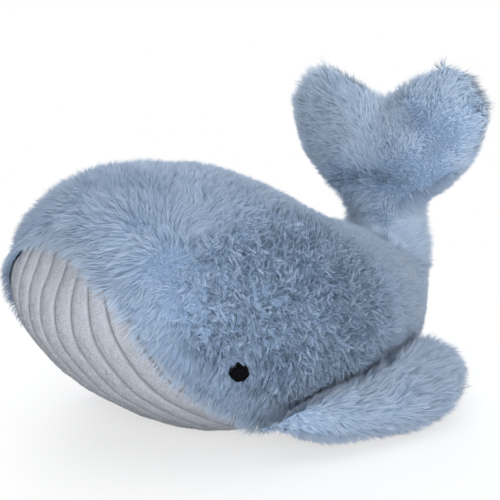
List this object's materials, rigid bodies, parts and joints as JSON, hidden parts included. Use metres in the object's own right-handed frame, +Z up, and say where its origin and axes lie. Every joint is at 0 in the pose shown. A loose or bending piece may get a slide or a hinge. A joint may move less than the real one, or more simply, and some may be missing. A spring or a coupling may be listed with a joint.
{
  "type": "plush whale",
  "caption": "Stuffed toy whale lying on its belly, with a ribbed throat, two side flippers and a raised heart-shaped tail fluke.",
  "frame": {"origin": "on the floor, below the middle of the toy's bounding box", "axes": "+X runs from the nose to the tail, +Z is up, and the whale's left side is at -Y"},
  "size_m": [0.2958, 0.2244, 0.2027],
  "materials": {
    "long_pile": "long soft pile",
    "ribbed_pile": "short pile in wide ribs",
    "fibre_fill": "loose fibre",
    "eye_thread": "satin stitch"
  },
  "bodies": {
    "body": {"side_panel_left": "long_pile", "side_panel_right": "long_pile", "throat_panel": "ribbed_pile", "body_stuffing": "fibre_fill", "eye_left": "eye_thread", "eye_right": "eye_thread"},
    "flipper_left": {"flipper_left_upper_panel": "long_pile", "flipper_left_under_panel": "long_pile", "flipper_left_stuffing": "fibre_fill"},
    "flipper_right": {"flipper_right_upper_panel": "long_pile", "flipper_right_under_panel": "long_pile", "flipper_right_stuffing": "fibre_fill"},
    "fluke": {"fluke_front_panel": "long_pile", "fluke_back_panel": "long_pile", "fluke_stuffing": "fibre_fill"}
  },
  "joints": [
    {"name": "fluke_bend", "type": "hinge", "parent": "body", "child": "fluke", "pos_m": [0.12505, 0, 0.106], "axis": [0, 1, 0], "range_deg": [-30, 30], "stiffness_Nm_per_rad": 0.6},
    {"name": "flipper_left_flap", "type": "hinge", "parent": "body", "child": "flipper_left", "pos_m": [-0.02787, -0.07593, 0.02462], "axis": [-0.9928, -0.103, -0.061], "range_deg": [-30, 15], "stiffness_Nm_per_rad": 0.3},
    {"name": "flipper_right_flap", "type": "hinge", "parent": "body", "child": "flipper_right", "pos_m": [-0.02787, 0.07593, 0.02462], "axis": [0.9928, -0.103, 0.061], "range_deg": [-30, 15], "stiffness_Nm_per_rad": 0.3}
  ]
}
